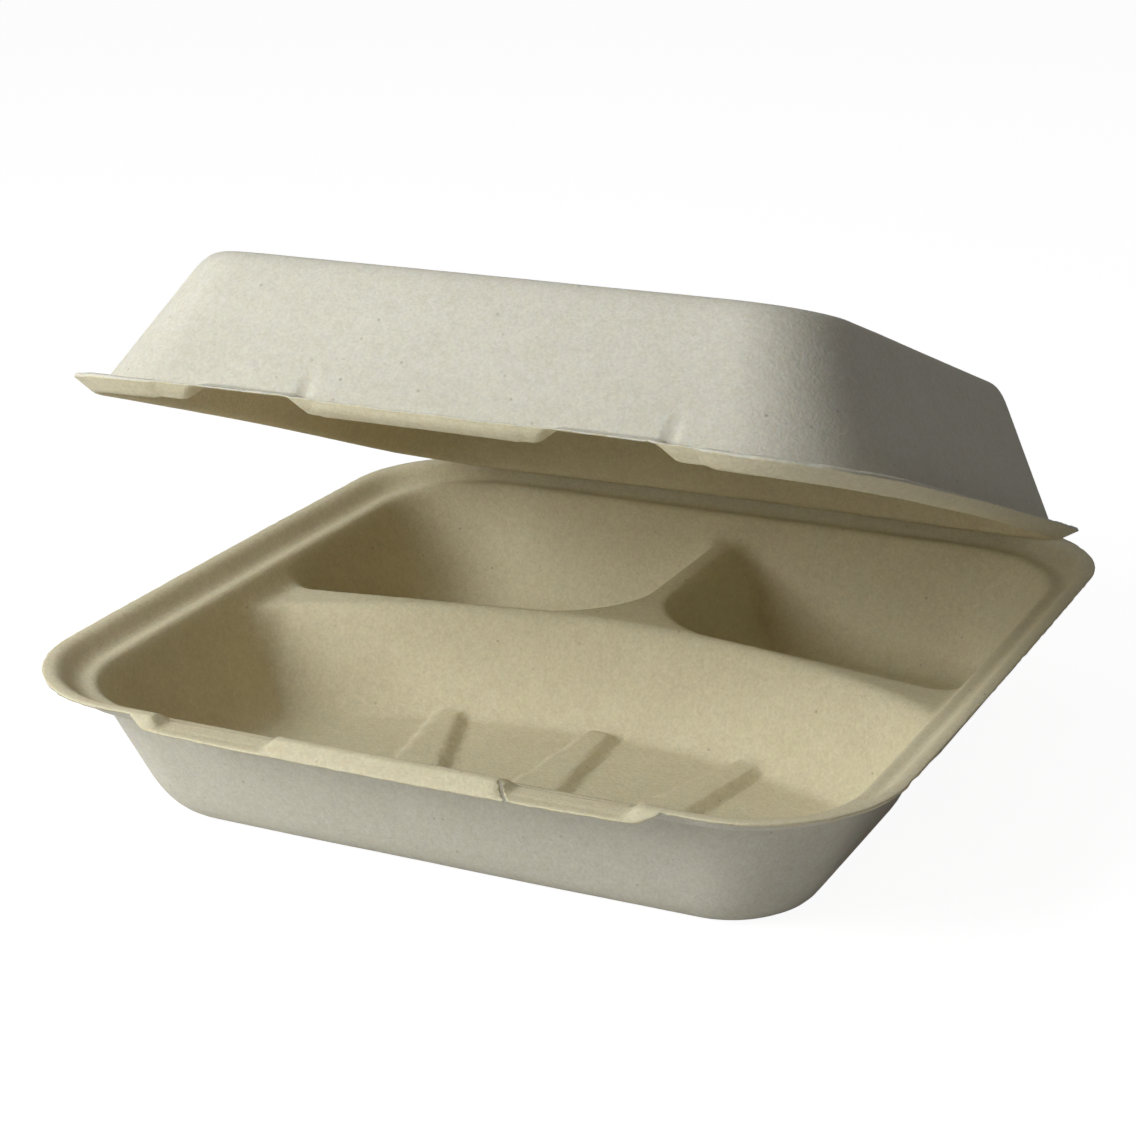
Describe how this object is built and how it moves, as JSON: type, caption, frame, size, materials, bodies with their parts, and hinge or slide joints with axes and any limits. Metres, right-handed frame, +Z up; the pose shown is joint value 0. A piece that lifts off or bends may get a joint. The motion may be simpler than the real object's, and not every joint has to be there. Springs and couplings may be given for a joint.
{
  "type": "moulded fibre food container",
  "caption": "Square clamshell take-away box of moulded plant fibre, a compartment tray with a hinged lid, shown part open.",
  "frame": {"origin": "on the underside, in the middle of the rim's width and depth (the front lip left out)", "axes": "+X to the right along the fold, +Y from the front to the fold, +Z up"},
  "size_m": [0.229, 0.2265, 0.1408],
  "materials": {
    "fibre": "matt, unbleached pressed plant fibre with fine dark flecks"
  },
  "bodies": {
    "tray": {"tray": "fibre"},
    "lid": {"lid": "fibre"}
  },
  "joints": [
    {"name": "lid_fold", "type": "hinge", "parent": "tray", "child": "lid", "pos_m": [0, 0.1115, 0.04015], "axis": [1, 0, 0], "range_deg": [-159, 21]}
  ]
}
